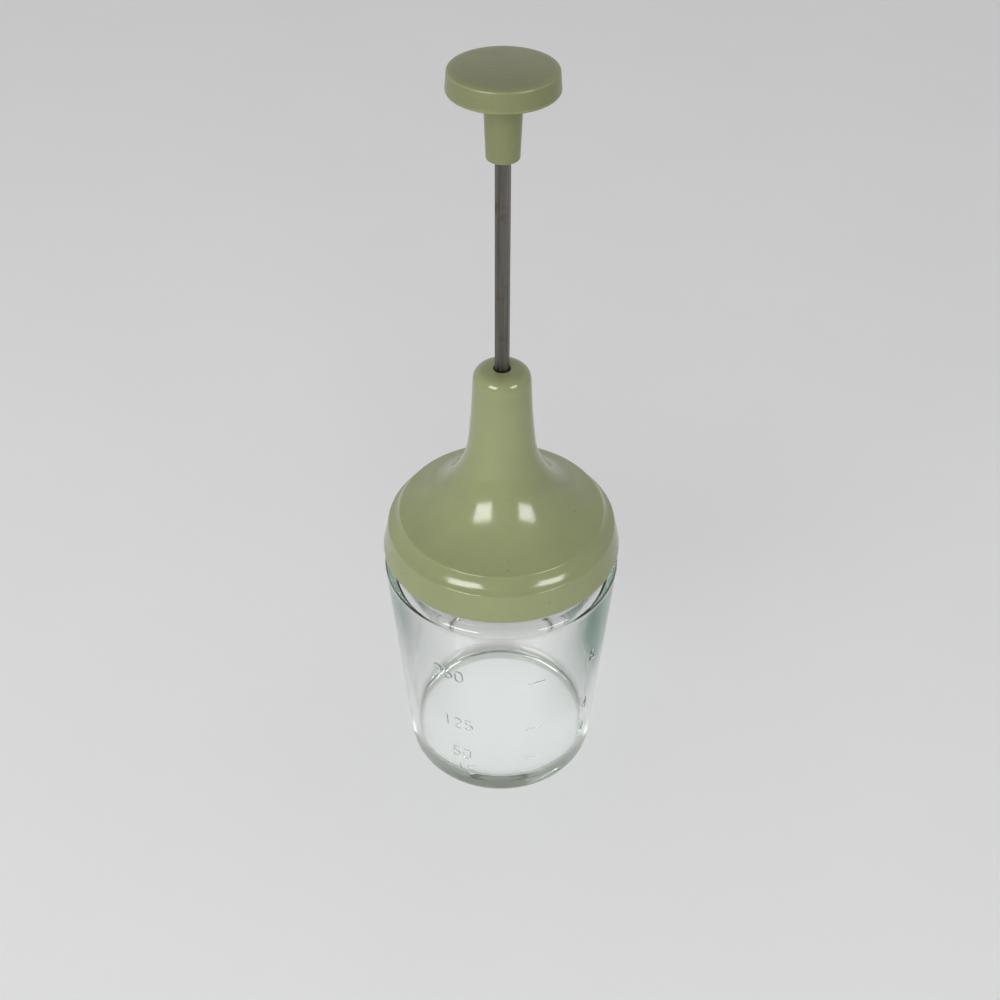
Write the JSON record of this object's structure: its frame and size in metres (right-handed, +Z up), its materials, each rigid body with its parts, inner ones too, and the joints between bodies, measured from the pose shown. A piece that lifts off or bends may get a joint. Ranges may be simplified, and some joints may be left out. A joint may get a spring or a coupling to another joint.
{
  "type": "nut chopper",
  "caption": "Push-plunger nut chopper: tapered glass jar with volume marks, bell-shaped screw lid with a tall neck, mushroom knob on a six-sided rod, and sprung blades.",
  "frame": {"origin": "middle of the jar's foot, on the table", "axes": "+Z up along the jar's and plunger's axis, -Y to the front with the volume marks"},
  "size_m": [0.0874, 0.0874, 0.286],
  "materials": {
    "glass": "clear, faintly green",
    "green_plastic": "glossy, avocado green",
    "seal_rubber": "matte, off-white",
    "guard_aluminium": "satin",
    "white_plastic": "satin",
    "spring_steel": "drawn wire",
    "rod_steel": "dull, scratched along its length",
    "dark_plastic": "satin",
    "blade_steel": "ground, bright"
  },
  "bodies": {
    "jar": {"glass_jar": "glass"},
    "seal": {"lid_seal": "seal_rubber"},
    "lid": {"lid": "green_plastic", "spring_guard": "guard_aluminium", "guide_bush": "white_plastic", "return_spring": "spring_steel"},
    "cup": {"spring_cup": "spring_steel"},
    "plunger": {"cup_pin": "spring_steel", "plunger_rod": "rod_steel", "knob": "green_plastic", "blade_hub": "dark_plastic", "hub_pin": "spring_steel", "blade_1": "blade_steel", "blade_2": "blade_steel", "blade_3": "blade_steel", "blade_4": "blade_steel"}
  },
  "joints": [
    {"name": "lid_rise", "type": "slide", "parent": "jar", "child": "seal", "axis": [0, 0, 1], "range_m": [0, 0.0024]},
    {"name": "lid_turn", "type": "hinge", "parent": "seal", "child": "lid", "pos_m": [0, 0, 0.11], "axis": [0, 0, 1], "range_deg": [0, 210]},
    {"name": "plunge", "type": "slide", "parent": "lid", "child": "cup", "axis": [0, 0, 1], "range_m": [-0.0755, 0], "stiffness_N_per_m": 100, "springref_m": 0.03, "deforming": ["return_spring"]},
    {"name": "knob_turn", "type": "hinge", "parent": "cup", "child": "plunger", "pos_m": [0, 0, 0.26], "axis": [0, 0, 1], "continuous": true}
  ],
  "couplings": [
    {"joint": "lid_rise", "follows": "lid_turn", "m_per_rad": 0.00063662}
  ]
}
